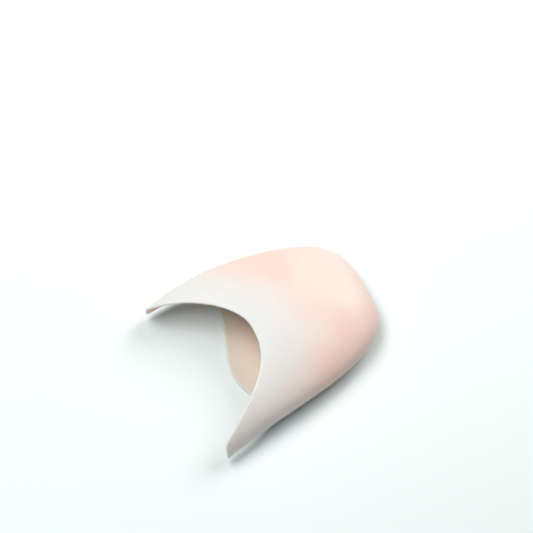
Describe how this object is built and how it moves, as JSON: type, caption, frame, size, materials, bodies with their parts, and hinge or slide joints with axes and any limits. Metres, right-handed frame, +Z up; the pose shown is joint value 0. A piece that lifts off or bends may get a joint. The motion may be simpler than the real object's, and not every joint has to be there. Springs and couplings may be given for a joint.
{
  "type": "gel toe cap",
  "caption": "Soft skin-coloured gel toe cap: a hollow moulded pocket with a closed round toe, a U-cut top, a tongued sole and folded side wings.",
  "frame": {"origin": "on the surface it rests on, under the middle of the bounding box", "axes": "+X from the wing tips to the closed toe end, +Y to the wearer's left, +Z up from the sole to the top of the arch"},
  "size_m": [0.1028, 0.0912, 0.027],
  "materials": {
    "gel": "satin, slightly translucent"
  },
  "bodies": {
    "root": {"toe_cap": "gel"}
  },
  "joints": []
}
